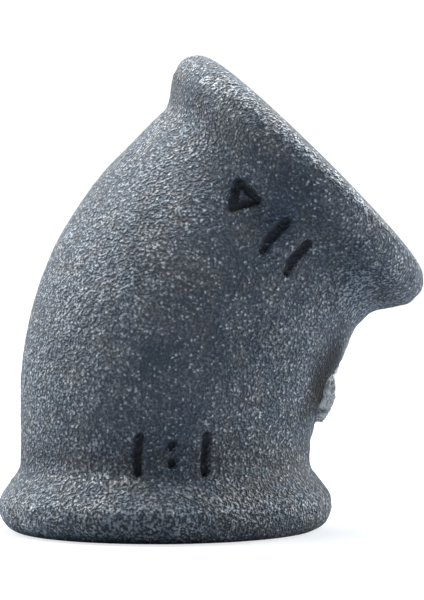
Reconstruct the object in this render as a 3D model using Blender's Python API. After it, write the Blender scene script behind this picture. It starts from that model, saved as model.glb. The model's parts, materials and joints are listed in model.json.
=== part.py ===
"""A 45-degree pipe elbow in malleable cast iron, with an internal Rp 3/4 pipe thread in each beaded end.

The whole fitting is one casting. It stands on its lower end at Z = 0, and its upper end points up and towards +X.
Both axes lie in the XZ plane, and the origin is under the middle of the bounding box. Metres, +Z up.
"""

import math

import bmesh
import bpy
from mathutils import Vector

# Size of the fitting: the thread is Rp 3/4 of ISO 7-1, and the length is that of an EN 10242 45-degree elbow.
BEND = math.radians(45)
FACE_TO_CENTRE = 0.0250
THREAD_MAJOR_R = 0.026441 / 2
THREAD_PITCH = 0.0254 / 14
THREAD_MINOR_R = THREAD_MAJOR_R - 0.640327 * THREAD_PITCH
THREAD_END = 0.0130
MOUTH_R = 0.0139

# The casting's outer shape.
BEND_RADIUS = 0.0228
NECK_R = 0.01688
BEAD_R = 0.0193
CORNER_R = 0.0026
CREST_WIDTH = 0.0006
SHOULDER_R = 0.0025
FLARE = math.radians(35.5)
FILLET_R = 0.0026
THROAT = 0.02116
THROAT_BLEND = 0.00035

# The cored chamber between the threads.
CHAMBER_R = 0.0134

# The stub that the foundry's gate left on the throat when it was broken off: an oval that follows the throat's
# girth. Its rough top slopes, and its middle lies this far below the middle of the bend.
GATE_HALF_LENGTH = 0.0034
GATE_HALF_WIDTH = 0.0060
GATE_OFFSET = -0.0012
GATE_HEIGHT = 0.00025
GATE_ROOT = 0.0012
GATE_RAKE = math.radians(10)

# Sunk marks beside each bead, on the -Y side. A place on the casting's neck is (around, along): "around" is
# measured round the girth from the middle of the -Y side, towards the throat, and "along" from the end face.
MARK_WIDTH = 0.0010
MARK_DEPTH = 0.0005
MARK_DRAFT = 0.00012
MARK_TOP = 0.0118
MARK_FOOT = 0.0079
UPPER_BARS = (0.0024, 0.0060)
TRIANGLE_CENTRE = (-0.0030, 0.0093)
TRIANGLE_REACH = 0.0027
LOWER_BARS = (-0.0027, 0.0047)
LOWER_DOTS = 0.0010

# How finely curves are cut into flat faces.
SIDES = 40
CORNER_STEPS = 4
FLARE_STEPS = 3
NECK_STEPS = 3
BEND_STEPS = 10
GATE_SIDES = 20
BAR_SIDES = 12

# The gate stub's rings, from its root to its top: (share of its size, lift off the throat, unevenness).
GATE_RINGS = (
    (1.0, -GATE_ROOT, 0.0),
    (0.92, GATE_HEIGHT, 0.00010),
    (0.5, GATE_HEIGHT - 0.00008, 0.00006),
)

# Worked out from the sizes above.
HALF_BEND = BEND / 2
LEG = FACE_TO_CENTRE - BEND_RADIUS * math.tan(HALF_BEND)
PATH_LENGTH = 2 * LEG + BEND_RADIUS * BEND
THROAT_GAP = BEND_RADIUS / math.cos(HALF_BEND) - THROAT
UPPER_REACH = (
    FACE_TO_CENTRE + BEAD_R - 2 * CORNER_R + CORNER_R / math.sin(BEND)
) * math.sin(BEND)
LOWER_AXIS_X = (BEAD_R - UPPER_REACH) / 2
BEND_CENTRE = Vector((LOWER_AXIS_X + BEND_RADIUS, 0, LEG))
SIDEWAYS = Vector((0, 1, 0))


def clear_scene():
    for obj in list(bpy.data.objects):
        bpy.data.objects.remove(obj)


def towards_throat(turned):
    """Unit vector from the centreline to the inside of the bend, once the path has turned this far."""
    return Vector((math.cos(turned), 0, -math.sin(turned)))


def path_frame(distance):
    """(point, direction to the throat, direction of travel) on the centreline, this far from the lower face."""
    turned = min(max((distance - LEG) / BEND_RADIUS, 0), BEND)
    inside = towards_throat(turned)
    ahead = Vector((math.sin(turned), 0, math.cos(turned)))
    straight = min(distance - LEG, 0) + max(distance - (PATH_LENGTH - LEG), 0)
    return BEND_CENTRE - BEND_RADIUS * inside + straight * ahead, inside, ahead


def swell(distance):
    """How far the section grows, and its middle shifts, so that the throat is a chord and the back stays an arc."""
    near = min(distance, PATH_LENGTH - distance)
    if near < LEG:
        chord = THROAT - (FACE_TO_CENTRE - near) * math.sin(HALF_BEND)
        gap = chord / math.cos(HALF_BEND) - NECK_R
    else:
        turned = (near - LEG) / BEND_RADIUS
        gap = BEND_RADIUS - NECK_R - THROAT_GAP / math.cos(HALF_BEND - turned)
    blend = max(THROAT_BLEND - abs(gap), 0)
    return (max(gap, 0) + blend * blend / (4 * THROAT_BLEND)) / 2


def bead_profile():
    """(distance from the end face, radius) from the face's outer edge, over the bead, to the end of its flare."""
    corner = [
        (CORNER_R * (1 - math.cos(a)), BEAD_R - CORNER_R * (1 - math.sin(a)))
        for a in steps(0, math.pi / 2, CORNER_STEPS)
    ]
    crest_end = CORNER_R + CREST_WIDTH
    shoulder = [
        (crest_end + SHOULDER_R * math.sin(a), BEAD_R - SHOULDER_R * (1 - math.cos(a)))
        for a in steps(0, FLARE, FLARE_STEPS)
    ]
    fillet_top = NECK_R + FILLET_R * (1 - math.cos(FLARE))
    flare_end = shoulder[-1][0] + (shoulder[-1][1] - fillet_top) / math.tan(FLARE)
    neck_start = flare_end + FILLET_R * math.sin(FLARE)
    fillet = [
        (neck_start - FILLET_R * math.sin(a), NECK_R + FILLET_R * (1 - math.cos(a)))
        for a in steps(FLARE, 0, FLARE_STEPS)
    ]
    return corner + shoulder + fillet


def steps(first, last, count):
    """count + 1 evenly spaced values, both ends included."""
    return [first + (last - first) * i / count for i in range(count + 1)]


def bore_radius(depth, phase):
    """Radius of a threaded socket at this depth. The thread's phase is 0 on a crest and a half in a groove."""
    from_groove = abs((phase + 0.5) % 1 - 0.5)
    climb = min(max((from_groove - 1 / 12) * 3, 0), 1)
    thread = THREAD_MINOR_R + climb * (THREAD_MAJOR_R - THREAD_MINOR_R)
    chamfer = MOUTH_R - depth
    runout = THREAD_MINOR_R + (CHAMBER_R - THREAD_MINOR_R) * (depth - THREAD_END) / (LEG - THREAD_END)
    return max(thread, chamfer, runout)


def add_ring(mesh, centre, first, second, radius, shift=0.0):
    """A ring of vertices about centre + shift * first, in the plane of the unit vectors first and second."""
    ring = []
    for i in range(SIDES):
        angle = 2 * math.pi * i / SIDES
        offset = first * (shift + radius * math.cos(angle)) + second * (radius * math.sin(angle))
        ring.append(mesh.verts.new(centre + offset))
    return ring


def bridge(mesh, ring_a, ring_b):
    for i in range(SIDES):
        j = (i + 1) % SIDES
        mesh.faces.new((ring_a[i], ring_a[j], ring_b[j], ring_b[i]))


def add_thread(mesh, mouth, chamber, point):
    """The right-hand thread between two rings. point(side, depth, radius) places a vertex in the socket.

    Rows of vertices follow the helix, four to a pitch, at the edges of its crests and grooves. A row that has run
    out past either end of the socket joins the ring there.
    """
    phases = (1 / 12, 5 / 12, 7 / 12, 11 / 12)
    rows = 4 * (math.ceil(LEG / THREAD_PITCH) + 2)
    placed = {}

    def vertex(row, side):
        if side == SIDES:
            row, side = row + 4, 0
        phase = phases[row % 4]
        depth = (row // 4 - 2 + phase + side / SIDES) * THREAD_PITCH
        if depth <= 0:
            return mouth[side]
        if depth >= LEG:
            return chamber[side]
        if (row, side) not in placed:
            placed[row, side] = mesh.verts.new(point(side, depth, bore_radius(depth, phase)))
        return placed[row, side]

    for row in range(rows):
        for side in range(SIDES):
            around = (vertex(row, side), vertex(row, side + 1), vertex(row + 1, side + 1), vertex(row + 1, side))
            corners = list(dict.fromkeys(around))
            if len(corners) > 2:
                mesh.faces.new(corners)


def add_end(mesh, centre, inside, sideways, inward):
    """A beaded end with its face and threaded socket. Returns its open rings: the neck's and the chamber's."""
    profile = bead_profile()
    rings = [add_ring(mesh, centre + inward * depth, inside, sideways, radius) for depth, radius in profile]
    for ring_a, ring_b in zip(rings, rings[1:]):
        bridge(mesh, ring_a, ring_b)
    mouth = add_ring(mesh, centre, inside, sideways, MOUTH_R)
    chamber = add_ring(mesh, centre + inward * LEG, inside, sideways, CHAMBER_R + swell(LEG), swell(LEG))
    bridge(mesh, mouth, rings[0])

    def point(side, depth, radius):
        angle = 2 * math.pi * side / SIDES
        return centre + inward * depth + radius * (inside * math.cos(angle) + sideways * math.sin(angle))

    add_thread(mesh, mouth, chamber, point)
    return rings[-1], chamber


def mirrored(ring):
    """The same ring, counted the other way round from the same first vertex."""
    return [ring[-i] for i in range(SIDES)]


def add_bend(mesh, distances, radius, first_ring, last_ring):
    """Rings swept along the centreline, with the swell added to this radius, between two rings that exist."""
    ring = first_ring
    for distance in distances:
        centre, inside, _ = path_frame(distance)
        grown = swell(distance)
        next_ring = add_ring(mesh, centre, inside, SIDEWAYS, radius + grown, grown)
        bridge(mesh, ring, next_ring)
        ring = next_ring
    bridge(mesh, ring, last_ring)


def casting_mesh():
    mesh = bmesh.new()
    foot, inside, ahead = path_frame(0)
    lower_neck, lower_chamber = add_end(mesh, foot, inside, SIDEWAYS, ahead)
    top, inside, ahead = path_frame(PATH_LENGTH)
    upper_neck, upper_chamber = add_end(mesh, top, inside, -SIDEWAYS, -ahead)

    neck_start = bead_profile()[-1][0]
    on_neck = steps(neck_start, LEG, NECK_STEPS)[1:]
    on_bend = steps(LEG, PATH_LENGTH - LEG, BEND_STEPS)[1:-1]
    outer = on_neck + on_bend + [PATH_LENGTH - distance for distance in reversed(on_neck)]
    add_bend(mesh, outer, NECK_R, lower_neck, mirrored(upper_neck))
    add_bend(mesh, on_bend, CHAMBER_R, lower_chamber, mirrored(upper_chamber))
    bmesh.ops.recalc_face_normals(mesh, faces=mesh.faces)
    return mesh


def new_object(name, mesh):
    """An object from a bmesh, which this frees."""
    data = bpy.data.meshes.new(name)
    mesh.to_mesh(data)
    mesh.free()
    obj = bpy.data.objects.new(name, data)
    bpy.context.scene.collection.objects.link(obj)
    return obj


def hide_helper(obj):
    obj.hide_render = True
    obj.display_type = "WIRE"


def gate_stub():
    """A low oval boss on the throat, to be joined to the casting. Its edge is uneven, as a break leaves it."""
    centre, inside, ahead = path_frame(PATH_LENGTH / 2)
    grown = swell(PATH_LENGTH / 2)
    section_centre = centre + inside * grown
    section_r = NECK_R + grown
    mesh = bmesh.new()

    def place(share, angle, lift):
        uneven = 1 + 0.06 * math.sin(3 * angle) + 0.05 * math.sin(7 * angle + 1)
        turn = share * uneven * GATE_HALF_WIDTH * math.sin(angle) / section_r
        along = share * uneven * GATE_HALF_LENGTH * math.cos(angle)
        radial = inside * math.cos(turn) + SIDEWAYS * math.sin(turn)
        height = section_r + lift - along * math.tan(GATE_RAKE)
        return mesh.verts.new(section_centre + ahead * (along + GATE_OFFSET) + radial * height)

    rings = []
    for share, lift, roughness in GATE_RINGS:
        ring = []
        for i in range(GATE_SIDES):
            angle = 2 * math.pi * i / GATE_SIDES
            ring.append(place(share, angle, lift + roughness * math.sin(5 * angle)))
        rings.append(ring)
    mesh.faces.new(rings[0])
    for ring_a, ring_b in zip(rings, rings[1:]):
        for i in range(GATE_SIDES):
            j = (i + 1) % GATE_SIDES
            mesh.faces.new((ring_a[i], ring_a[j], ring_b[j], ring_b[i]))
    top = place(0, 0, GATE_HEIGHT)
    for i in range(GATE_SIDES):
        mesh.faces.new((rings[-1][i], rings[-1][(i + 1) % GATE_SIDES], top))
    bmesh.ops.recalc_face_normals(mesh, faces=mesh.faces)
    obj = new_object("gate_stub_shape", mesh)
    hide_helper(obj)
    return obj


def bar_outline(start, end, reach):
    """Corners of a round-ended bar between two (around, along) places, this far out from its middle line."""
    lean = math.atan2(end[1] - start[1], end[0] - start[0])
    corners = []
    for i in range(BAR_SIDES):
        angle = 2 * math.pi * (i + 0.5) / BAR_SIDES
        near = end if math.cos(angle) > 0 else start
        corners.append((near[0] + reach * math.cos(lean + angle), near[1] + reach * math.sin(lean + angle)))
    return corners


def triangle_outline(reach):
    return [
        (TRIANGLE_CENTRE[0] + reach * math.sin(turn), TRIANGLE_CENTRE[1] + reach * math.cos(turn))
        for turn in (0, 2 * math.pi / 3, 4 * math.pi / 3)
    ]


def bar_loops(start, end):
    """Floor and rim outlines of a bar's cutter."""
    half = MARK_WIDTH / 2
    return [bar_outline(start, end, half - MARK_DRAFT), bar_outline(start, end, half + MARK_DRAFT)]


def triangle_loops():
    """Outer floor, outer rim, inner rim and inner floor outlines of a hollow triangle's cutter.

    A triangle's corners move twice as far as its sides, so they lie a whole MARK_WIDTH off its line's middle.
    """
    middle = TRIANGLE_REACH - MARK_WIDTH
    draft = 2 * MARK_DRAFT
    reaches = (MARK_WIDTH - draft, MARK_WIDTH + draft, -MARK_WIDTH - draft, -MARK_WIDTH + draft)
    return [triangle_outline(middle + reach) for reach in reaches]


def mark_cutter(name, loops, lifts, frame):
    """A cutter for a mark on a neck: a wall between each outline and the next, and the first and last joined."""
    centre, inside, inward = frame
    mesh = bmesh.new()
    rings = []
    for loop, lift in zip(loops, lifts):
        ring = []
        for around, along in loop:
            angle = around / NECK_R
            radial = inside * math.sin(angle) - SIDEWAYS * math.cos(angle)
            ring.append(mesh.verts.new(centre + inward * along + radial * (NECK_R + lift)))
        rings.append(ring)
    closed = len(rings) > 2
    for ring_a, ring_b in zip(rings, rings[1:] + rings[:1] if closed else rings[1:]):
        for i in range(len(ring_a)):
            j = (i + 1) % len(ring_a)
            mesh.faces.new((ring_a[i], ring_a[j], ring_b[j], ring_b[i]))
    if not closed:
        mesh.faces.new(rings[0])
        mesh.faces.new(rings[1])
    bmesh.ops.recalc_face_normals(mesh, faces=mesh.faces)
    obj = new_object(name, mesh)
    hide_helper(obj)
    return obj


def mark_cutters():
    foot, inside, ahead = path_frame(0)
    lower = (foot, inside, ahead)
    top, inside, ahead = path_frame(PATH_LENGTH)
    upper = (top, inside, -ahead)
    middle = (MARK_FOOT + MARK_TOP) / 2
    dots = [middle - MARK_WIDTH, middle + MARK_WIDTH]
    shallow = (-MARK_DEPTH, MARK_DEPTH)
    hollow = (-MARK_DEPTH, MARK_DEPTH, MARK_DEPTH, -MARK_DEPTH)
    cutters = [mark_cutter("triangle_cutter", triangle_loops(), hollow, upper)]
    for bars, frame in ((UPPER_BARS, upper), (LOWER_BARS, lower)):
        for around in bars:
            loops = bar_loops((around, MARK_FOOT), (around, MARK_TOP))
            cutters.append(mark_cutter("bar_cutter", loops, shallow, frame))
    for along in dots:
        loops = bar_loops((LOWER_DOTS, along), (LOWER_DOTS, along))
        cutters.append(mark_cutter("dot_cutter", loops, shallow, lower))
    return cutters


def add_boolean(obj, other, operation):
    modifier = obj.modifiers.new(other.name, "BOOLEAN")
    modifier.operation = operation
    modifier.solver = "EXACT"
    modifier.object = other


def iron_material():
    material = bpy.data.materials.new("malleable_iron")
    material.use_nodes = True
    shader = material.node_tree.nodes["Principled BSDF"]
    shader.inputs["Base Color"].default_value = (0.085, 0.10, 0.12, 1)
    shader.inputs["Roughness"].default_value = 0.55
    shader.inputs["Metallic"].default_value = 0.6
    return material


def main():
    clear_scene()
    casting = new_object("elbow_casting", casting_mesh())
    casting.data.materials.append(iron_material())
    casting.data.shade_smooth()
    casting.data.set_sharp_from_angle(angle=math.radians(35))
    add_boolean(casting, gate_stub(), "UNION")
    for cutter in mark_cutters():
        add_boolean(casting, cutter, "DIFFERENCE")


main()
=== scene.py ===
"""Looks of the 45-degree pipe elbow: a fine mesh of the casting, its iron, a floor, soft light and a camera.

Every length is in metres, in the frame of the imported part: +Z up, the bend in the XZ plane, the marks on the
-Y side. Distances run along the centreline from the lower end face, and angles run round the section from the
throat through +Y.
"""

import json
import math
from collections import namedtuple

import bmesh
import bpy
import numpy as np
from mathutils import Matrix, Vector, noise


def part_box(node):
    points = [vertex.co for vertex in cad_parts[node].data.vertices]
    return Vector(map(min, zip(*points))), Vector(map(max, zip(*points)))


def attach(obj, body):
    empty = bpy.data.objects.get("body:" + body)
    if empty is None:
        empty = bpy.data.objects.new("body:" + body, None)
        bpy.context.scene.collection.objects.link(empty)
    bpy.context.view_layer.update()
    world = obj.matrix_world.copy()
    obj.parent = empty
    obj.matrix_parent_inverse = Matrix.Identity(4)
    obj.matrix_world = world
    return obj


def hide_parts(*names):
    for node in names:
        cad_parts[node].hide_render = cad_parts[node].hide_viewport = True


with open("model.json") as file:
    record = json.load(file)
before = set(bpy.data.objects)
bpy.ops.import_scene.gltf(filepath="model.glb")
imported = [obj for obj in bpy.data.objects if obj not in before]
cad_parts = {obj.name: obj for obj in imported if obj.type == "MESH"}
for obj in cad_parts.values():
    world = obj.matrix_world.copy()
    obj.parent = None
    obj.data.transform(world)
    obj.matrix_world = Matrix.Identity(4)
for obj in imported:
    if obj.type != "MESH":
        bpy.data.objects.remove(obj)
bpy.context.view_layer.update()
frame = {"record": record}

# Sizes read from the frame: the two end faces, and the bead's radius from the width across the bend.
MOUNTS = {mount["name"]: mount for mount in frame["record"]["mounts"]}
LOWER_X = MOUNTS["lower_end_face"]["pos_m"][0]
UPPER_X = MOUNTS["upper_end_face"]["pos_m"][0]
UPPER_AXIS = MOUNTS["upper_end_face"]["axis"]
BEND = math.atan2(UPPER_AXIS[0], UPPER_AXIS[2])
FACE_TO_CENTRE = (UPPER_X - LOWER_X) / math.sin(BEND)
CASTING_LOW, CASTING_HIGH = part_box("elbow_casting")
BEAD_R = (CASTING_HIGH.y - CASTING_LOW.y) / 2

# The casting's outer shape.
BEND_RADIUS = 0.0228
NECK_R = 0.01688
CORNER_R = 0.0026
CREST_WIDTH = 0.0006
SHOULDER_R = 0.0025
FLARE = math.radians(35.5)
FILLET_R = 0.0026
THROAT = 0.02116
THROAT_BLEND = 0.00035

# The bore: the thread is Rp 3/4, and the cored chamber lies between the two threads.
THREAD_MAJOR_R = 0.026441 / 2
THREAD_PITCH = 0.0254 / 14
THREAD_MINOR_R = THREAD_MAJOR_R - 0.640327 * THREAD_PITCH
THREAD_END = 0.0130
MOUTH_R = 0.0139
CHAMBER_R = 0.0134
FACED_R = 0.0149
FACED_DEPTH = 0.00008

# The thread's shape in one pitch: the phases of its points, and where its rounded flank starts and ends.
THREAD_PHASES = (0.0, 0.09, 0.17, 0.33, 0.41, 0.5, 0.59, 0.67, 0.83, 0.91)
THREAD_FLANK = (0.06, 0.44)
TURNS_BEFORE_MOUTH = 2

# How far the as-cast end faces are sunk, and how rough they and the chamber's wall are. Lumps are the size of
# the noise's lumps and its seed.
FACE_SINK = 0.00004
FACE_ROUGHNESS = 0.00003
FACE_LUMPS = (0.002, 8.8)
CHAMBER_ROUGHNESS = 0.00008
CHAMBER_LUMPS = (0.0021, 66.1)

# The skin's roughness, in four layers: the size of the lumps, the seed and the height.
ROUGHNESS = {
    "coarse": (0.011, 3.1, 0.00009),
    "medium": (0.0032, 17.7, 0.00011),
    "small": (0.0011, 41.3, 0.00005),
    "fine": (0.00055, 5.9, 0.000035),
}

# The beads are rougher still: the middle and half width of the rough band, and the heights that two layers
# gain there.
RIM_BAND = (0.0024, 0.0016)
RIM_SMALL = 0.00004
RIM_FINE = 0.00005

# The roughness fades out over these depths, so that the casting stands flat on its end faces.
FACE_BLEND = (-0.0003, 0.0012)

# The faint ridge where the mould's halves met, in the bend's plane. An evenness is what is added to the noise
# that makes a height uneven.
PARTING_HEIGHT = 0.00007
PARTING_EDGES = (0.0003, 0.0009)
PARTING_WANDER = 0.0002
PARTING_EVENNESS = 0.6

# The gate's broken stub on the throat: a ragged ellipse that slopes down at its upper end, and is raked and
# flatter than the throat. Its side, torn metal, lip, moat and chips are placed by shares of its half sizes.
GATE_HALF_LENGTH = 0.0034
GATE_HALF_WIDTH = 0.0060
GATE_OFFSET = -0.0012
GATE_HEIGHT = 0.00042
GATE_SLOPE = (0.0008, 0.0022)
GATE_RAKE = math.tan(math.radians(6))
GATE_FLATNESS = 2.5
GATE_RAGGED = {"medium": 0.10, "small": 0.07}
GATE_ROUGHNESS = {"medium": 0.00012, "small": 0.00014, "fine": 0.00010}
GATE_SIDE = (0.93, 1.03)
GATE_TORN = (0.99, 1.05)
GATE_LIP = (0.90, 0.07)
GATE_LIP_HEIGHT = 0.00016
GATE_LIP_UNEVEN = (0.7, 0.9)
GATE_MOAT = (1.14, 0.09)
GATE_MOAT_DEPTH = 0.00018
GATE_MOAT_EVENNESS = 0.8
GATE_CHIPS = (0.98, 0.10)
GATE_CHIPS_LEVELS = (-0.35, 0.10)

# The strip above the gate where its root was ground off, measured from the gate's middle.
LAND_ALONG = 0.0072
LAND_HALF_LENGTH = 0.0022
LAND_HALF_WIDTH = 0.0042
LAND_WANDER = 0.0006
LAND_SHARE = 0.9

# Painted shade beside the gate, with some dark scale, measured from its middle, and painted shade in the
# recesses between the beads and the neck.
GATE_SHADE_ACROSS = 0.0072
GATE_SHADE_HALF_WIDTH = 0.0028
GATE_SHADE_ALONG = 0.0019
GATE_SHADE_HALF_LENGTH = 0.0053
GATE_SHADE_WANDER = (0.0012, 0.0010)
GATE_SHADE_FROM_AXIS = 0.3 * NECK_R
LOWER_RECESS = 0.0092
LOWER_RECESS_SHADE = 0.32
UPPER_RECESS = 0.0052
UPPER_RECESS_SHADE = 0.24
RECESS_HALF = 0.0016
RECESS_WANDER = 0.0008

# Pale chips, on the lower flare at (x, distance) and along the edges of the beads' rubbed crests.
CHIPS_PLACE = (-0.0126, 0.0070)
CHIPS_HALF = (0.0042, 0.00045)
LOWER_CREST_EDGES = (0.0018, 0.0037)
LOWER_CREST_HALF = 0.0003
LOWER_CREST_CHIPS = 0.50
UPPER_CREST_EDGE = 0.0013
UPPER_CREST_HALF = 0.0006
UPPER_CREST_CHIPS = 0.60
CREST_WANDER = 0.0004
CREST_FADE = (-0.1, 0.6)

# Depths from the end face between which each bead is rubbed, and how much they change with the way to the
# throat. The upper bead stands a little proud where it is rubbed.
LOWER_RUB = (0.0009, 0.0020, 0.0044, 0.0068)
UPPER_RUB = (0.0001, 0.0007, 0.0014, 0.0021)
RUB_SLANT = 0.075
RUB_STEP = 0.00011

# How rubbed the skin is on the beads, on the outside of the bend and in the throat. The levels say where the
# last two start and are full, as shares of the way across the section. The upper flare (its middle and half
# width) and the beads shelter the skin beside them.
BEAD_WEAR = 0.90
BACK_WEAR = 0.75
THROAT_WEAR = 0.35
BACK_LEVELS = (0.0, 0.85)
THROAT_LEVELS = (0.1, 0.6)
WEAR_FROM_FACE = (0.2 * CORNER_R, CORNER_R)
UPPER_FLARE = (0.0046, 0.0020)
SHELTER = 0.6
WEAR_UNEVEN = 0.6
WEAR_LUMPS = (0.0040, 23.4)
MOST_WORN = 2

# Rubbed patches on the -Y side, as the middle (x, z), the reach and the share of each.
RUBBED_PLACES = (
    ((-0.0090, 0.0290), 0.0036, 0.45),
    ((-0.0050, 0.0350), 0.0022, 0.45),
    ((0.0062, 0.0215), 0.0020, 0.45),
    ((-0.0125, 0.0104), 0.0013, 0.90),
    ((-0.0070, 0.0030), 0.0060, 0.90),
    ((0.0165, 0.0270), 0.0034, 1.30),
)

# Sunk marks, at (around, along) places as in the CAD: around the girth from the -Y side, along from the end
# face.
MARK_WIDTH = 0.0010
MARK_DEPTH = 0.0005
MARK_TOP = 0.0118
MARK_FOOT = 0.0079
UPPER_BARS = (0.0024, 0.0060)
TRIANGLE_CENTRE = (-0.0030, 0.0093)
TRIANGLE_REACH = 0.0017
LOWER_BARS = (-0.0027, 0.0047)
LOWER_DOTS = 0.0010

# A mark's wall starts and ends this far inside and outside its edge, and the edge wobbles with two layers of
# the roughness.
MARK_WALL = (0.00022, 0.00016)
MARK_WOBBLE = 0.00012
MARK_FINE_SHARE = 0.8

# How far apart the mesh's points are: on the plain casting, on the beads, and on the marks and the gate. The
# steps round the section are longer by AROUND_STEPS.
PLAIN_STEP = 0.00036
BEAD_STEP = 0.00026
FINE_STEP = 0.00017
AROUND_STEPS = 1.15
GATE_MARGIN = 1.15
MARKS_REACH = 0.0085
COLUMNS_PER_SIDE = 4
FACE_ROWS = 5
FACE_OVERLAP = 0.0001
CHAMBER_ROWS = 38
ARC_POINTS = 24
DENSE_POINTS = 4000
SHARP_ANGLE = math.radians(40)

# Noise in the materials: the size of its lumps, its detail and its roughness.
SAND = (0.00029, 1.0, 0.5)
DAPPLE = (0.0012, 2.0, 0.5)
TINT = (0.0030, 2.0, 0.5)
PATCH = (0.0050, 3.0, 0.5)
BROAD = (0.014, 2.0, 0.5)
FRACTURE = (0.00042, 4.0, 0.65)
TOOL_STREAK = (0.00025, 4.0, 0.6)
CUT_CLOUD = (0.003, 3.0, 0.5)
CORE_SAND = (0.0006, 5.0, 0.6)
CORE_CLOUD = (0.005, 3.0, 0.5)
FLOOR_MOTTLE = (0.02, 4.0, 0.6)

# The skin's grain: sand and pebbles, with a little dapple in the relief, which is higher where the skin is
# rubbed.
PEBBLE_SIZE = 0.00040
PEBBLE_WANDER = 0.7
PEBBLE_SOFTNESS = 0.25
PEBBLE_HEIGHTS = (0.30, 1.0)
SAND_SHARE = 0.70
PEBBLE_SHARE = 0.45
RELIEF_DAPPLE = 0.30
GRAIN_RELIEF = 0.00048
RELIEF_BY_WEAR = (0.85, 2.1)

# A layer of colour: the noise levels between which it comes in, and its share. A pair of shares is for plain
# skin and for rubbed skin. The skin's layers are in the order in which they are laid.
Layer = namedtuple("Layer", "colour levels share")
DARK_OXIDE = (0.052, 0.076, 0.101, 1)
PALE_OXIDE = Layer((0.118, 0.130, 0.150, 1), (0.38, 0.62), 1)
OLIVE_OXIDE = Layer((0.100, 0.112, 0.104, 1), (0.52, 0.70), 0.7)
BLUE_OXIDE = Layer((0.066, 0.092, 0.122, 1), (0.48, 0.30), 0.6)
RUST = Layer((0.130, 0.124, 0.117, 1), (0.48, 0.66), 0.6)
RUST_DAPPLE = (0.36, 0.62)
BLUE_BARED = (0.196, 0.256, 0.312, 1)
GREY_BARED = Layer((0.240, 0.268, 0.286, 1), (0.38, 0.62), 1)
BARED_SHARE = 0.56
TIPS = Layer((0.24, 0.275, 0.315, 1), (0.53, 0.68), (0.24, 0.32))
FROST = Layer((0.54, 0.58, 0.62, 1), (0.845, 0.965), (0.80, 0.38))
FROST_WEAR = (0, 0.10)
FROST_DAPPLE = 0.24
FROST_PATCH = 0.18
FROST_CHIPS = (0.48, 0.62)
# Painted shade in the grain's pits, partly the dark oxide they hold.
PAINTED_PIT_SHADE = Layer((0.024, 0.032, 0.046, 1), (0.54, 0.42), (0.66, 0.88))
# Painted glints: sparse near-white flecks on the grain's highest points.
PAINTED_GLINTS = Layer((0.76, 0.79, 0.80, 1), (1.12, 1.18), 0.85)
GLINTS_DAPPLE = 0.6
GLINTS_CHIPS = 0.30
# Painted shade beside the gate, with some dark scale, and in the recesses between the beads and the neck.
PAINTED_SHADE = (0.014, 0.013, 0.014, 1)
PAINTED_SHADE_SHARE = 0.96
# Painted shade on the floors of the sunk marks.
MARK_SHADE = (0.010, 0.011, 0.014, 1)
MARK_SHADE_DAPPLE = (0.40, 0.66)
MARK_SHADE_SHARES = (0.96, 0.76)
DARK_FRACTURE = (0.10, 0.11, 0.125, 1)
PALE_FRACTURE = Layer((0.46, 0.48, 0.50, 1), (0.36, 0.64), 1)
# Pale broken metal at the gate's chips, painted near-white as the glint of its facets.
GLINTING_CHIP = (0.80, 0.81, 0.80, 1)
SKIN_ROUGHNESS = (0.70, 0.50)
PAINTED_SHADE_ROUGHNESS = 0.3

# Metal cut by the tap and the facing tool.
DARK_CUT = (0.20, 0.205, 0.21, 1)
PALE_CUT = Layer((0.34, 0.345, 0.35, 1), (0.35, 0.65), 1)
OIL = Layer((0.09, 0.085, 0.08, 1), (0.5, 0.7), 0.5)
CUT_ROUGHNESS = (0.25, 0.5)
CUT_METALLIC = 0.9
CUT_RELIEF = 0.00003

# Metal cast against the core.
DARK_CORE = (0.045, 0.048, 0.055, 1)
RUSTY_CORE = Layer((0.095, 0.072, 0.056, 1), (0.35, 0.7), 1)
CORE_GRAIN = Layer((0.15, 0.15, 0.15, 1), (0.5, 0.75), 1)
CORE_ROUGHNESS = (0.5, 0.85)
CORE_METALLIC = 0.2
CORE_RELIEF = 0.00025

# The floor and the backdrop show as white. What they throw back on the object is dimmer.
FLOOR_HALF = 4.0
FLOOR_COLOUR = (0.215, 0.244, 0.290, 1)
FLOOR_ROUGHNESS = 0.9
FLOOR_SHOWN = ((0.97, 0.97, 0.97, 1), (1.0, 1.0, 1.0, 1))
FLOOR_GLOW = 0.72
BACKDROP = (1.05, 1.05, 1.05, 1)
DIM_ROOM = (0.03, 0.03, 0.03, 1)

# Soft lights: the way to each from the object, and its strength.
LIGHTS = {
    "top_light": ((0.06, 0.16, 0.98), 6.9),
    "left_light": ((-0.77, 0.32, 0.54), 4.7),
    "back_right_light": ((0.72, 0.42, 0.54), 2.3),
    "right_light": ((0.99, 0.00, 0.14), 2.8),
}
LIGHT_SPREAD = math.radians(40)

# The camera looks along +Y, square to the bend's plane. Its lens and sensor are in millimetres.
CAMERA_PLACE = (0.0001, -0.267, 0.0268)
CAMERA_TURN = (math.radians(90), math.radians(0.29), 0)
CAMERA_LENS = 136.7
CAMERA_SENSOR = 36

# Worked out from the sizes above.
HALF_BEND = BEND / 2
LEG = FACE_TO_CENTRE - BEND_RADIUS * math.tan(HALF_BEND)
PATH_LENGTH = 2 * LEG + BEND_RADIUS * BEND
MIDDLE = PATH_LENGTH / 2
THROAT_GAP = BEND_RADIUS / math.cos(HALF_BEND) - THROAT
BEND_CENTRE = np.array((LOWER_X + BEND_RADIUS, 0, LEG))
SIDEWAYS = np.array((0.0, 1.0, 0.0))
FULL_TURN = 2 * math.pi
MARKED_SIDE = 1.5 * math.pi

# The materials' places on the mesh, and the values that its points carry for the skin's material.
SKIN, CUT, CORE = range(3)
VALUES = ("mark", "torn", "worn", "painted_shade", "chips")


# --- Short helpers ---


def smooth_step(value, low, high):
    """0 up to low, 1 from high on, and smooth between."""
    t = np.clip((value - low) / (high - low), 0, 1)
    return t * t * (3 - 2 * t)


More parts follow.
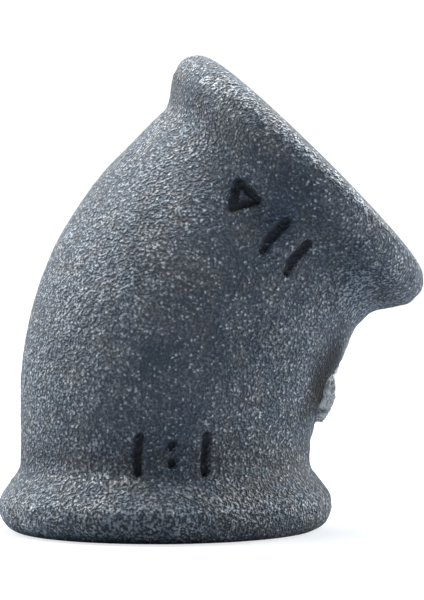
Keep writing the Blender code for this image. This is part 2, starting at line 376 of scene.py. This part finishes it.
def band(value, middle, half):
    """1 at the middle of a band, falling smoothly to 0 past its edges."""
    return np.exp(-(((value - middle) / half) ** 4))


def bell(value, middle, reach):
    """1 at the middle, falling away on both sides at once."""
    return np.exp(-(((value - middle) / reach) ** 2))


def arc(last):
    """Angles from 0 to the last one."""
    return np.linspace(0, last, ARC_POINTS)


def spaced(length, step):
    """Places from 0 to length, about step(place) apart."""
    dense = np.linspace(0, length, DENSE_POINTS)
    count = np.concatenate([[0], np.cumsum(np.diff(dense) / step(dense[1:]))])
    places = np.linspace(0, count[-1], math.ceil(count[-1]) + 1)
    return np.interp(places, count, dense)


def lumps(points, size, seed):
    """Perlin noise from about -1 to 1, with lumps of this size, for an array of points."""
    flat = points.reshape(-1, 3) / size + seed
    return np.array([noise.noise(Vector(p)) for p in flat]).reshape(points.shape[:-1])


def mirrored(ring):
    """The same ring, counted the other way round from the same first point."""
    return np.roll(ring[::-1], 1)


# --- The casting's shape ---


def path_frame(distance):
    """(points, directions to the throat, directions of travel) on the centreline."""
    distance = np.atleast_1d(distance)
    turned = np.clip((distance - LEG) / BEND_RADIUS, 0, BEND)
    zero = np.zeros_like(turned)
    inside = np.stack([np.cos(turned), zero, -np.sin(turned)], 1)
    ahead = np.stack([np.sin(turned), zero, np.cos(turned)], 1)
    straight = np.minimum(distance - LEG, 0) + np.maximum(distance - (PATH_LENGTH - LEG), 0)
    return BEND_CENTRE - BEND_RADIUS * inside + straight[:, None] * ahead, inside, ahead


def swell(distance):
    """How far a section grows and shifts, so that the throat is a chord and the back stays an arc."""
    near = np.minimum(distance, PATH_LENGTH - distance)
    chord = THROAT - (FACE_TO_CENTRE - near) * math.sin(HALF_BEND)
    turned = np.clip((near - LEG) / BEND_RADIUS, 0, HALF_BEND)
    on_bend = BEND_RADIUS - NECK_R - THROAT_GAP / np.cos(HALF_BEND - turned)
    gap = np.where(near < LEG, chord / math.cos(HALF_BEND) - NECK_R, on_bend)
    blend = np.maximum(THROAT_BLEND - np.abs(gap), 0)
    return (np.maximum(gap, 0) + blend * blend / (4 * THROAT_BLEND)) / 2


def half_profile():
    """Dense (distance from the end face, radius) points, from the face's edge to the middle of the bend."""
    corner = [
        (CORNER_R * (1 - math.cos(a)), BEAD_R - CORNER_R * (1 - math.sin(a)))
        for a in arc(math.pi / 2)
    ]
    crest_end = CORNER_R + CREST_WIDTH
    shoulder = [
        (crest_end + SHOULDER_R * math.sin(a), BEAD_R - SHOULDER_R * (1 - math.cos(a)))
        for a in arc(FLARE)
    ]
    fillet_top = NECK_R + FILLET_R * (1 - math.cos(FLARE))
    flare_end = shoulder[-1][0] + (shoulder[-1][1] - fillet_top) / math.tan(FLARE)
    neck_start = flare_end + FILLET_R * math.sin(FLARE)
    fillet = [
        (neck_start - FILLET_R * math.sin(a), NECK_R + FILLET_R * (1 - math.cos(a)))
        for a in arc(FLARE)
    ]
    return np.array(corner + shoulder + fillet[::-1] + [(MIDDLE, NECK_R)])


def outer_rows():
    """(distances, radii) of the rows of the outer surface, from the lower face's edge to the upper one's."""
    profile = half_profile()
    reach = np.concatenate([[0], np.cumsum(np.hypot(*np.diff(profile, axis=0).T))])

    def step(place):
        """How long a step along the skin is at a place on the profile."""
        near = np.interp(place, reach, profile[:, 0])
        on_marks = (near > MARK_FOOT - MARK_WIDTH) & (near < MARK_TOP + MARK_WIDTH)
        closer = (near < MARK_FOOT) | (near > MIDDLE + GATE_OFFSET - GATE_HALF_LENGTH)
        return np.where(on_marks, FINE_STEP, np.where(closer, BEAD_STEP, PLAIN_STEP))

    places = spaced(reach[-1], step)
    distance = np.interp(places, reach, profile[:, 0])
    radius = np.interp(places, reach, profile[:, 1])
    return (
        np.concatenate([distance, PATH_LENGTH - distance[-2::-1]]),
        np.concatenate([radius, radius[-2::-1]]),
    )


def columns():
    """Angles of the mesh's columns. They are closest on the marks and on the gate."""

    def step(angle):
        """How long a step round the section is at an angle."""
        from_throat = np.minimum(angle, FULL_TURN - angle) * NECK_R
        from_marks = np.abs(angle - MARKED_SIDE) * NECK_R
        fine = (from_throat < GATE_HALF_WIDTH * GATE_MARGIN) | (from_marks < MARKS_REACH)
        return np.where(fine, FINE_STEP * AROUND_STEPS, PLAIN_STEP * AROUND_STEPS) / NECK_R

    angles = spaced(FULL_TURN, step)
    count = COLUMNS_PER_SIDE * round((len(angles) - 1) / COLUMNS_PER_SIDE)
    return np.interp(np.arange(count) / count, np.linspace(0, 1, len(angles)), angles)


def rings(distance, radius, shift, angles):
    """Points of sections on the centreline, as an array of rows by columns by xyz."""
    centre, inside, _ = path_frame(distance)
    across = (shift[:, None] + radius[:, None] * np.cos(angles))[..., None] * inside[:, None]
    aside = (radius[:, None] * np.sin(angles))[..., None] * SIDEWAYS
    return centre[:, None] + across + aside


def outward(points):
    """Unit normals of a grid of points that closes round its columns."""
    around = np.roll(points, -1, 1) - np.roll(points, 1, 1)
    along = np.gradient(points, axis=0)
    normal = np.cross(around, along)
    return normal / np.linalg.norm(normal, axis=2, keepdims=True)


# --- The skin's relief, marks, wear and stains ---


def bar_distance(around, along, place, foot, top):
    """Distance from a bar's middle line, which runs along the neck."""
    return np.hypot(around - place, along - np.clip(along, foot, top))


def triangle_distance(around, along):
    """Distance from the line of the triangle mark."""
    nearest = np.full(around.shape, np.inf)
    corners = [
        (
            TRIANGLE_CENTRE[0] + TRIANGLE_REACH * math.sin(turn),
            TRIANGLE_CENTRE[1] + TRIANGLE_REACH * math.cos(turn),
        )
        for turn in (0, FULL_TURN / 3, 2 * FULL_TURN / 3)
    ]
    for (x0, y0), (x1, y1) in zip(corners, corners[1:] + corners[:1]):
        dx, dy = x1 - x0, y1 - y0
        t = np.clip(((around - x0) * dx + (along - y0) * dy) / (dx * dx + dy * dy), 0, 1)
        nearest = np.minimum(nearest, np.hypot(around - x0 - t * dx, along - y0 - t * dy))
    return nearest


def mark_share(distance, angles, wobble):
    """How deep each point lies in a mark, from 0 on the skin to 1 on a mark's floor."""
    around = np.broadcast_to(NECK_R * (angles - MARKED_SIDE), wobble.shape)
    lower = np.broadcast_to(distance[:, None], wobble.shape)
    upper = PATH_LENGTH - lower
    nearest = triangle_distance(around, upper)
    for place in UPPER_BARS:
        nearest = np.minimum(nearest, bar_distance(around, upper, place, MARK_FOOT, MARK_TOP))
    for place in LOWER_BARS:
        nearest = np.minimum(nearest, bar_distance(around, lower, place, MARK_FOOT, MARK_TOP))
    middle = (MARK_FOOT + MARK_TOP) / 2
    for along in (middle - MARK_WIDTH, middle + MARK_WIDTH):
        nearest = np.minimum(nearest, bar_distance(around, lower, LOWER_DOTS, along, along))
    half = MARK_WIDTH / 2
    return 1 - smooth_step(nearest + wobble * MARK_WOBBLE, half - MARK_WALL[0], half + MARK_WALL[1])


def rubbed_beads(distance, angles):
    """Shares of rubbed metal on the lower bead and on the upper one."""
    slant = RUB_SLANT * BEAD_R * np.cos(angles)
    lower = distance[:, None]
    upper = PATH_LENGTH - lower
    return (
        smooth_step(lower - slant, *LOWER_RUB[:2]) * (1 - smooth_step(lower, *LOWER_RUB[2:])),
        smooth_step(upper, *UPPER_RUB[:2]) * (1 - smooth_step(upper + slant, *UPPER_RUB[2:])),
    )


def worn_share(points, distance, angles):
    """How rubbed the skin is: most on the back of the bend and the beads' crests, a little in the throat."""
    near = np.minimum(distance, PATH_LENGTH - distance)[:, None]
    beads = sum(rubbed_beads(distance, angles))
    sheltered = band(PATH_LENGTH - distance[:, None], *UPPER_FLARE)
    back = smooth_step(-np.cos(angles), *BACK_LEVELS) * (1 - SHELTER * sheltered)
    throat = smooth_step(np.cos(angles), *THROAT_LEVELS)
    neck = (BACK_WEAR * back + THROAT_WEAR * throat) * smooth_step(near, *WEAR_FROM_FACE)
    worn = BEAD_WEAR * beads + neck * (1 - SHELTER * beads)
    worn = worn * (1 + WEAR_UNEVEN * lumps(points, *WEAR_LUMPS))
    for (x, z), reach, share in RUBBED_PLACES:
        away = np.hypot(points[..., 0] - x, points[..., 2] - z)
        worn = worn + share * bell(away, 0, reach) * (points[..., 1] < 0)
    return np.clip(worn, 0, MOST_WORN)


def parting_ridge(angles, layers):
    """Height of the ridge that the mould's halves leave on the throat and on the back."""
    from_seam = np.abs(np.sin(angles)) * NECK_R + PARTING_WANDER * layers["medium"]
    height = PARTING_HEIGHT * (PARTING_EVENNESS + layers["coarse"])
    return height * (1 - smooth_step(from_seam, *PARTING_EDGES))


def gate_places(points):
    """(across, along) of points from the gate's middle, which is on the throat."""
    centre, _, ahead = path_frame(MIDDLE)
    return points[..., 1], (points - centre[0]) @ ahead[0] - GATE_OFFSET


def gate_relief(points, angles, layers):
    """(height, share of torn metal, share of chips) of the gate's stub, its moat and the ground strip."""
    across, along = gate_places(points)
    facing = np.cos(angles) > 0
    edge = np.hypot(across / GATE_HALF_WIDTH, along / GATE_HALF_LENGTH)
    edge = edge + sum(amount * layers[name] for name, amount in GATE_RAGGED.items())

    proud = GATE_HEIGHT * (1 - smooth_step(along, *GATE_SLOPE)) - GATE_RAKE * along
    proud = proud + across * across / (GATE_FLATNESS * NECK_R)
    proud = proud + sum(amount * layers[name] for name, amount in GATE_ROUGHNESS.items())
    lip_height = GATE_LIP_HEIGHT * (GATE_LIP_UNEVEN[0] + GATE_LIP_UNEVEN[1] * layers["medium"])
    moat_depth = GATE_MOAT_DEPTH * (GATE_MOAT_EVENNESS + layers["coarse"])
    height = (1 - smooth_step(edge, *GATE_SIDE)) * proud
    height = height + lip_height * bell(edge, *GATE_LIP) - moat_depth * bell(edge, *GATE_MOAT)

    land = band(along + LAND_WANDER * layers["small"], LAND_ALONG, LAND_HALF_LENGTH)
    land = land * band(across, 0, LAND_HALF_WIDTH)
    torn = np.maximum(1 - smooth_step(edge, *GATE_TORN), LAND_SHARE * land)
    chips = band(edge, *GATE_CHIPS) * smooth_step(layers["small"] + layers["fine"], *GATE_CHIPS_LEVELS)
    return height * facing, torn * facing, chips * facing


def painted_shade_share(points, distance, wander):
    """Share of painted shade, with some dark scale, beside the gate, and of painted shade in the recesses
    between the beads and the neck.
    """
    across, along = gate_places(points)
    on_throat = points[..., 0] > path_frame(distance)[0][:, None, 0] + GATE_SHADE_FROM_AXIS
    beside = on_throat * band(np.abs(across) + GATE_SHADE_WANDER[0] * wander, GATE_SHADE_ACROSS, GATE_SHADE_HALF_WIDTH)
    beside = beside * band(along + GATE_SHADE_WANDER[1] * wander, GATE_SHADE_ALONG, GATE_SHADE_HALF_LENGTH)
    lower = distance[:, None] + RECESS_WANDER * wander
    recesses = LOWER_RECESS_SHADE * bell(lower, LOWER_RECESS, RECESS_HALF)
    recesses = recesses + UPPER_RECESS_SHADE * bell(PATH_LENGTH - lower, UPPER_RECESS, RECESS_HALF)
    return np.maximum(beside, recesses)


def flare_chips(points, distance, wander):
    """Share of pale chips at the foot of the lower flare, on the -Y side."""
    lower = distance[:, None] + RECESS_WANDER * wander
    chips = band(lower, CHIPS_PLACE[1], CHIPS_HALF[1]) * band(points[..., 0], CHIPS_PLACE[0], CHIPS_HALF[0])
    return chips * (points[..., 1] < 0)


def crest_chips(distance, angles, wander):
    """Share of pale chips along the edges of the beads' rubbed crests. Most fade out to the throat."""
    lower = distance[:, None] + CREST_WANDER * wander
    upper = PATH_LENGTH - lower + RUB_SLANT * BEAD_R * np.cos(angles)
    fading = 1 - smooth_step(np.cos(angles), *CREST_FADE)
    lower_lines = band(lower, LOWER_CREST_EDGES[0], LOWER_CREST_HALF) * fading
    lower_lines = lower_lines + band(lower, LOWER_CREST_EDGES[1], LOWER_CREST_HALF)
    upper_line = band(upper, UPPER_CREST_EDGE, UPPER_CREST_HALF) * fading
    return np.maximum(LOWER_CREST_CHIPS * lower_lines, UPPER_CREST_CHIPS * upper_line)


def displaced(points, distance, angles):
    """The outer surface as the foundry leaves it, and each point's values for the skin, all but its wear."""
    layers = {name: lumps(points, size, seed) for name, (size, seed, _) in ROUGHNESS.items()}
    medium = layers["medium"]
    near = np.minimum(distance, PATH_LENGTH - distance)[:, None]
    mark = mark_share(distance, angles, layers["small"] + MARK_FINE_SHARE * layers["fine"])
    gate_height, torn, gate_chips = gate_relief(points, angles, layers)

    height = sum(amount * layers[name] for name, (_, _, amount) in ROUGHNESS.items())
    height = height + band(near, *RIM_BAND) * (RIM_SMALL * layers["small"] + RIM_FINE * layers["fine"])
    height = height + RUB_STEP * rubbed_beads(distance, angles)[1]
    height = height - MARK_DEPTH * mark
    height = height + parting_ridge(angles, layers)
    height = height + gate_height
    height = height * smooth_step(near, *FACE_BLEND)

    chips = (flare_chips(points, distance, medium), gate_chips, crest_chips(distance, angles, medium))
    values = {
        "mark": mark,
        "torn": torn,
        "painted_shade": painted_shade_share(points, distance, medium),
        "chips": np.maximum.reduce(chips),
    }
    return points + outward(points) * height[..., None], values


# --- The mesh ---


class Shell:
    """Vertices and faces of one closed mesh, with a material for each face and values for each vertex."""

    def __init__(self):
        self.vertices = []
        self.faces = []
        self.materials = []
        self.values = {name: [] for name in VALUES}

    def add_points(self, points, **values):
        """Adds points, and returns their indices in an array of the same shape."""
        first = len(self.vertices)
        flat = np.asarray(points).reshape(-1, 3)
        self.vertices.extend(map(tuple, flat))
        for name, store in self.values.items():
            store.extend(np.ravel(values.get(name, np.zeros(len(flat)))))
        return first + np.arange(len(flat)).reshape(np.shape(points)[:-1])

    def add_faces(self, faces, material):
        """Adds faces without their repeated corners, and leaves out a face that has fewer than three left."""
        for face in faces:
            corners = list(dict.fromkeys(int(i) for i in face))
            if len(corners) > 2:
                self.faces.append(corners)
                self.materials.append(material)

    def add_grid(self, index, material):
        """Quads between the rows of a grid of indices, which closes round its columns."""
        after = np.roll(index, -1, 1)
        quads = np.stack([index[:-1], after[:-1], after[1:], index[1:]], -1)
        self.add_faces(quads.reshape(-1, 4), material)

    def add_fan(self, coarse, dense, material):
        """Faces between a ring and one in the same directions with COLUMNS_PER_SIDE times as many points."""
        for i in range(len(coarse)):
            first = i * COLUMNS_PER_SIDE
            run = [dense[(first + j) % len(dense)] for j in range(COLUMNS_PER_SIDE + 1)]
            self.add_faces([[coarse[(i + 1) % len(coarse)], coarse[i]] + run], material)


def bore_radius(depth, phase):
    """Radius of a threaded socket. The thread's phase is 0 on a crest and a half in a groove."""
    from_crest = min(phase, 1 - phase)
    thread = THREAD_MINOR_R + smooth_step(from_crest, *THREAD_FLANK) * (THREAD_MAJOR_R - THREAD_MINOR_R)
    chamfer = MOUTH_R - (depth - FACED_DEPTH)
    runout = THREAD_MINOR_R + (CHAMBER_R - THREAD_MINOR_R) * (depth - THREAD_END) / (LEG - THREAD_END)
    return max(thread, chamfer, runout)


def add_socket(shell, end, turn, sides, face_ring):
    """The faced ring, chamfer and right-hand thread of the lower end (turn 1) or upper end (turn -1).

    Returns the ring of indices where the thread meets the chamber.
    """
    centre, inside, ahead = (value[0] for value in path_frame(end))
    inward = ahead * turn
    directions = inside * np.cos(sides)[:, None] + SIDEWAYS * turn * np.sin(sides)[:, None]
    faced = shell.add_points(centre + inward * FACED_DEPTH + FACED_R * directions)
    mouth = shell.add_points(centre + inward * FACED_DEPTH + MOUTH_R * directions)
    grown = float(swell(LEG))
    chamber = shell.add_points(centre + inward * LEG + (CHAMBER_R + grown) * directions + grown * inside)
    shell.add_fan(faced, face_ring, CUT)
    shell.add_grid(np.stack([mouth, faced]), CUT)

    count = len(sides)
    per_pitch = len(THREAD_PHASES)
    placed = {}

    def vertex(row, side):
        """The vertex of a row of the helix. Past its last side a row goes on as the row one pitch deeper."""
        if side == count:
            row, side = row + per_pitch, 0
        phase = THREAD_PHASES[row % per_pitch]
        pitches = row // per_pitch - TURNS_BEFORE_MOUTH + phase + sides[side] / FULL_TURN
        depth = pitches * THREAD_PITCH
        if depth <= FACED_DEPTH:
            return mouth[side]
        if depth >= LEG:
            return chamber[side]
        if (row, side) not in placed:
            point = centre + inward * depth + directions[side] * bore_radius(depth, phase)
            placed[row, side] = int(shell.add_points(point[None])[0])
        return placed[row, side]

    for row in range(per_pitch * (math.ceil(LEG / THREAD_PITCH) + TURNS_BEFORE_MOUTH)):
        for side in range(count):
            near_mouth = (vertex(row, side), vertex(row, side + 1))
            deeper = (vertex(row + 1, side + 1), vertex(row + 1, side))
            shell.add_faces([near_mouth + deeper], CUT)
    return chamber


def add_end_face(shell, end, turn, edge_row, angles):
    """The as-cast part of an end face, from the bead's corner in to the faced ring. Returns its last ring."""
    radii = np.linspace(BEAD_R - CORNER_R, FACED_R + FACE_OVERLAP, FACE_ROWS + 1)[1:]
    points = rings(np.full(FACE_ROWS, end), radii, np.zeros(FACE_ROWS), angles)
    _, _, ahead = path_frame(end)
    lift = FACE_ROUGHNESS * lumps(points, *FACE_LUMPS)
    lift[0] /= 2
    face = shell.add_points(points + turn * (FACE_SINK + lift)[..., None] * ahead[0])
    shell.add_grid(np.concatenate([edge_row[None], face]), SKIN)
    return face[-1]


def casting_shell():
    """The whole casting: the outer skin, the end faces, the threaded sockets and the chamber between them."""
    shell = Shell()
    angles = columns()
    distance, radius = outer_rows()
    grown = swell(distance)
    smooth = rings(distance, radius + grown, grown, angles)
    rough, values = displaced(smooth, distance, angles)
    outer = shell.add_points(rough, worn=worn_share(smooth, distance, angles), **values)
    shell.add_grid(outer, SKIN)
    lower_face = add_end_face(shell, 0.0, 1, outer[0], angles)
    upper_face = add_end_face(shell, PATH_LENGTH, -1, outer[-1], angles)

    sides = angles[::COLUMNS_PER_SIDE]
    upper_sides = (FULL_TURN - mirrored(sides)) % FULL_TURN
    lower_chamber = add_socket(shell, 0.0, 1, sides, lower_face)
    upper_chamber = add_socket(shell, PATH_LENGTH, -1, upper_sides, mirrored(upper_face))

    on_bend = np.linspace(LEG, PATH_LENGTH - LEG, CHAMBER_ROWS + 2)[1:-1]
    grown = swell(on_bend)
    chamber = rings(on_bend, CHAMBER_R + grown, grown, sides)
    height = CHAMBER_ROUGHNESS * lumps(chamber, *CHAMBER_LUMPS)
    middle = shell.add_points(chamber + height[..., None] * outward(chamber))
    shell.add_grid(np.concatenate([lower_chamber[None], middle, mirrored(upper_chamber)[None]]), CORE)
    return shell


def mesh_object(name, shell, materials):
    """A Blender object of a shell, with its faces turned outward and its values as point attributes."""
    data = bpy.data.meshes.new(name)
    data.from_pydata(shell.vertices, [], shell.faces)
    for material in materials:
        data.materials.append(material)
    data.polygons.foreach_set("material_index", shell.materials)
    for value_name, values in shell.values.items():
        attribute = data.attributes.new(value_name, "FLOAT", "POINT")
        attribute.data.foreach_set("value", np.array(values, np.float32))
    data.update()
    mesh = bmesh.new()
    mesh.from_mesh(data)
    bmesh.ops.recalc_face_normals(mesh, faces=mesh.faces)
    mesh.to_mesh(data)
    mesh.free()
    data.shade_smooth()
    data.set_sharp_from_angle(angle=SHARP_ANGLE)
    obj = bpy.data.objects.new(name, data)
    bpy.context.scene.collection.objects.link(obj)
    return obj


# --- Materials ---


class Nodes:
    """Short calls that add nodes to a material's tree."""

    def __init__(self, name):
        self.material = bpy.data.materials.new(name)
        self.material.use_nodes = True
        self.tree = self.material.node_tree
        self.shader = self.tree.nodes["Principled BSDF"]
        self.place = self.add("ShaderNodeTexCoord").outputs["Object"]

    def add(self, kind, **settings):
        """A new node of this kind with these settings."""
        node = self.tree.nodes.new(kind)
        for key, value in settings.items():
            setattr(node, key, value)
        return node

    def set(self, socket, value):
        """Links a socket to an output, or gives it a constant."""
        if isinstance(value, bpy.types.NodeSocket):
            self.tree.links.new(value, socket)
        else:
            socket.default_value = value

    def look(self, **values):
        """Sets the shader's sockets, which are named with _ for a space."""
        for name, value in values.items():
            self.set(self.shader.inputs[name.replace("_", " ")], value)

    def value(self, name):
        """A value that the mesh's points carry."""
        return self.add("ShaderNodeAttribute", attribute_name=name).outputs["Fac"]

    def noise(self, size, detail, roughness):
        """Noise from 0 to 1 with lumps of this size in metres."""
        node = self.add("ShaderNodeTexNoise")
        self.set(node.inputs["Vector"], self.place)
        self.set(node.inputs["Scale"], 1 / size)
        self.set(node.inputs["Detail"], detail)
        self.set(node.inputs["Roughness"], roughness)
        return node.outputs["Fac"]

    def grains(self, size):
        """Uneven grains of this size in metres, each with its own height, from 0 between them to 1."""
        wander = self.add("ShaderNodeTexNoise")
        self.set(wander.inputs["Vector"], self.place)
        self.set(wander.inputs["Scale"], PEBBLE_WANDER / size)
        shifted = self.add("ShaderNodeVectorMath", operation="MULTIPLY_ADD")
        self.set(shifted.inputs[0], wander.outputs["Color"])
        self.set(shifted.inputs[1], (size, size, size))
        self.set(shifted.inputs[2], self.place)
        node = self.add("ShaderNodeTexVoronoi", feature="SMOOTH_F1")
        self.set(node.inputs["Vector"], shifted.outputs["Vector"])
        self.set(node.inputs["Scale"], 1 / size)
        self.set(node.inputs["Smoothness"], PEBBLE_SOFTNESS)
        own = self.add("ShaderNodeSeparateColor")
        self.set(own.inputs["Color"], node.outputs["Color"])
        dome = self.math("SUBTRACT", 1.0, node.outputs["Distance"])
        return self.times(dome, self.scaled(own.outputs["Red"], *PEBBLE_HEIGHTS))

    def math(self, operation, a, b):
        """The result of an operation on two values."""
        node = self.add("ShaderNodeMath", operation=operation)
        self.set(node.inputs[0], a)
        self.set(node.inputs[1], b)
        return node.outputs[0]

    def times(self, a, b):
        """a times b."""
        return self.math("MULTIPLY", a, b)

    def plus(self, *values):
        """The sum of the values."""
        total = values[0]
        for value in values[1:]:
            total = self.math("ADD", total, value)
        return total

    def ramp(self, value, low, high):
        """0 where value is low or less, 1 where it is high or more, and smooth between."""
        node = self.add("ShaderNodeMapRange", interpolation_type="SMOOTHSTEP")
        self.set(node.inputs["Value"], value)
        self.set(node.inputs["From Min"], low)
        self.set(node.inputs["From Max"], high)
        return node.outputs["Result"]

    def scaled(self, value, low, high):
        """value from 0 to 1 spread between low and high."""
        node = self.add("ShaderNodeMapRange")
        self.set(node.inputs["Value"], value)
        self.set(node.inputs["To Min"], low)
        self.set(node.inputs["To Max"], high)
        return node.outputs["Result"]

    def mix(self, share, a, b):
        """Colour a, with this share of colour b."""
        node = self.add("ShaderNodeMix", data_type="RGBA")
        self.set(node.inputs[0], share)
        self.set(node.inputs[6], a)
        self.set(node.inputs[7], b)
        return node.outputs[2]

    def lay(self, layer, below, level, share=None):
        """A layer over the colour below it, coming in with the level. Its own share stands if none is given."""
        strength = layer.share if share is None else share
        return self.mix(self.times(self.ramp(level, *layer.levels), strength), below, layer.colour)

    def bump(self, height, distance):
        """A normal bent by a height from 0 to 1 that stands for this distance in metres."""
        node = self.add("ShaderNodeBump")
        self.set(node.inputs["Height"], height)
        self.set(node.inputs["Distance"], distance)
        return node.outputs["Normal"]


def skin_material():
    """As-cast iron: dark blue-grey oxide over sandy grain, pale where it is rubbed, with faint rust, with
    painted shade in its pits, marks and recesses and beside the gate, and with painted glints on its grain.
    """
    n = Nodes("black_iron_skin")
    worn, chips, painted_shade = n.value("worn"), n.value("chips"), n.value("painted_shade")
    dapple, patch, tint = n.noise(*DAPPLE), n.noise(*PATCH), n.noise(*TINT)
    grain = n.plus(n.times(n.noise(*SAND), SAND_SHARE), n.times(n.grains(PEBBLE_SIZE), PEBBLE_SHARE))
    relief = n.plus(grain, n.times(dapple, RELIEF_DAPPLE))

    colour = n.lay(PALE_OXIDE, DARK_OXIDE, patch)
    colour = n.lay(OLIVE_OXIDE, colour, tint)
    colour = n.lay(BLUE_OXIDE, colour, tint)
    rusty = n.times(n.ramp(dapple, *RUST_DAPPLE), RUST.share)
    colour = n.lay(RUST, colour, n.noise(*BROAD), rusty)
    colour = n.mix(n.times(worn, BARED_SHARE), colour, n.lay(GREY_BARED, BLUE_BARED, tint))
    colour = n.lay(TIPS, colour, grain, n.scaled(worn, *TIPS.share))

    frosty = n.plus(
        grain,
        n.scaled(worn, *FROST_WEAR),
        n.times(dapple, FROST_DAPPLE),
        n.times(patch, FROST_PATCH),
        n.times(chips, n.ramp(dapple, *FROST_CHIPS)),
    )
    colour = n.lay(FROST, colour, frosty, n.scaled(worn, *FROST.share))
    # Painted shade in the pits of the grain, partly dark oxide.
    colour = n.lay(PAINTED_PIT_SHADE, colour, grain, n.scaled(worn, *PAINTED_PIT_SHADE.share))
    # Painted glints on the highest grains and along the chips.
    glint_level = n.plus(grain, n.times(dapple, GLINTS_DAPPLE), n.times(chips, GLINTS_CHIPS))
    colour = n.lay(PAINTED_GLINTS, colour, glint_level)
    # Painted shade beside the gate and in the recesses by the beads.
    colour = n.mix(n.times(painted_shade, PAINTED_SHADE_SHARE), colour, PAINTED_SHADE)
    # Painted shade in the sunk marks.
    mark_shade = n.times(n.value("mark"), n.scaled(n.ramp(dapple, *MARK_SHADE_DAPPLE), *MARK_SHADE_SHARES))
    colour = n.mix(mark_shade, colour, MARK_SHADE)
    # Torn metal at the gate, with its chips painted near-white as a glint.
    broken = n.mix(chips, n.lay(PALE_FRACTURE, DARK_FRACTURE, n.noise(*FRACTURE)), GLINTING_CHIP)

    tips = n.ramp(grain, *TIPS.levels)
    n.look(
        Base_Color=n.mix(n.value("torn"), colour, broken),
        Roughness=n.plus(n.scaled(tips, *SKIN_ROUGHNESS), n.times(painted_shade, PAINTED_SHADE_ROUGHNESS)),
        Metallic=0.0,
        Normal=n.bump(n.times(relief, n.scaled(worn, *RELIEF_BY_WEAR)), GRAIN_RELIEF),
    )
    return n.material


def cut_material():
    """Iron cut by the tap and the facing tool: bright grey, with fine tool lines and a film of dark oil."""
    n = Nodes("cut_iron")
    streak = n.noise(*TOOL_STREAK)
    colour = n.lay(PALE_CUT, DARK_CUT, n.noise(*CUT_CLOUD))
    n.look(
        Base_Color=n.lay(OIL, colour, streak),
        Roughness=n.scaled(streak, *CUT_ROUGHNESS),
        Metallic=CUT_METALLIC,
        Normal=n.bump(streak, CUT_RELIEF),
    )
    return n.material


def core_material():
    """The chamber's wall, cast against a sand core: coarse, dark and a little rusty."""
    n = Nodes("core_iron")
    grain = n.noise(*CORE_SAND)
    colour = n.lay(RUSTY_CORE, DARK_CORE, n.noise(*CORE_CLOUD))
    n.look(
        Base_Color=n.lay(CORE_GRAIN, colour, grain),
        Roughness=n.scaled(grain, *CORE_ROUGHNESS),
        Metallic=CORE_METALLIC,
        Normal=n.bump(grain, CORE_RELIEF),
    )
    return n.material


def floor_material():
    """Pale board with the faintest mottling. It shows as white, and throws back only a soft light."""
    n = Nodes("pale_floor")
    seen = n.add("ShaderNodeLightPath").outputs["Is Camera Ray"]
    n.look(
        Base_Color=FLOOR_COLOUR,
        Roughness=FLOOR_ROUGHNESS,
        Emission_Color=n.mix(n.noise(*FLOOR_MOTTLE), *FLOOR_SHOWN),
        Emission_Strength=n.times(seen, FLOOR_GLOW),
    )
    return n.material


# --- Surroundings ---


def add_floor():
    """The floor that the casting stands on, which isn't part of the object."""
    data = bpy.data.meshes.new("floor")
    half = FLOOR_HALF
    corners = [(-half, -half, 0), (half, -half, 0), (half, half, 0), (-half, half, 0)]
    data.from_pydata(corners, [], [(0, 1, 2, 3)])
    data.materials.append(floor_material())
    floor = bpy.data.objects.new("floor", data)
    bpy.context.scene.collection.objects.link(floor)


def studio_world():
    """A white backdrop, which lights almost nothing: the lights do."""
    world = bpy.data.worlds.new("studio")
    world.use_nodes = True
    tree = world.node_tree
    seen = tree.nodes.new("ShaderNodeLightPath").outputs["Is Camera Ray"]
    mix = tree.nodes.new("ShaderNodeMix")
    mix.data_type = "RGBA"
    tree.links.new(seen, mix.inputs[0])
    mix.inputs[6].default_value = DIM_ROOM
    mix.inputs[7].default_value = BACKDROP
    tree.links.new(mix.outputs[2], tree.nodes["Background"].inputs["Color"])
    return world


def add_lights():
    """The soft lights and the backdrop."""
    for name, (side, strength) in LIGHTS.items():
        sun = bpy.data.lights.new(name, "SUN")
        sun.energy = strength
        sun.angle = LIGHT_SPREAD
        light = bpy.data.objects.new(name, sun)
        light.rotation_euler = Vector(side).to_track_quat("Z", "Y").to_euler()
        bpy.context.scene.collection.objects.link(light)
    bpy.context.scene.world = studio_world()


def add_camera():
    """The camera, level and square to the bend's plane."""
    data = bpy.data.cameras.new("camera")
    data.lens = CAMERA_LENS
    data.sensor_width = CAMERA_SENSOR
    camera = bpy.data.objects.new("camera", data)
    camera.location = CAMERA_PLACE
    camera.rotation_euler = CAMERA_TURN
    bpy.context.scene.collection.objects.link(camera)
    bpy.context.scene.camera = camera


casting = mesh_object("elbow_skin", casting_shell(), [skin_material(), cut_material(), core_material()])
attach(casting, "root")
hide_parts("elbow_casting")
add_floor()
add_lights()
add_camera()
bpy.context.scene.view_settings.view_transform = "Standard"
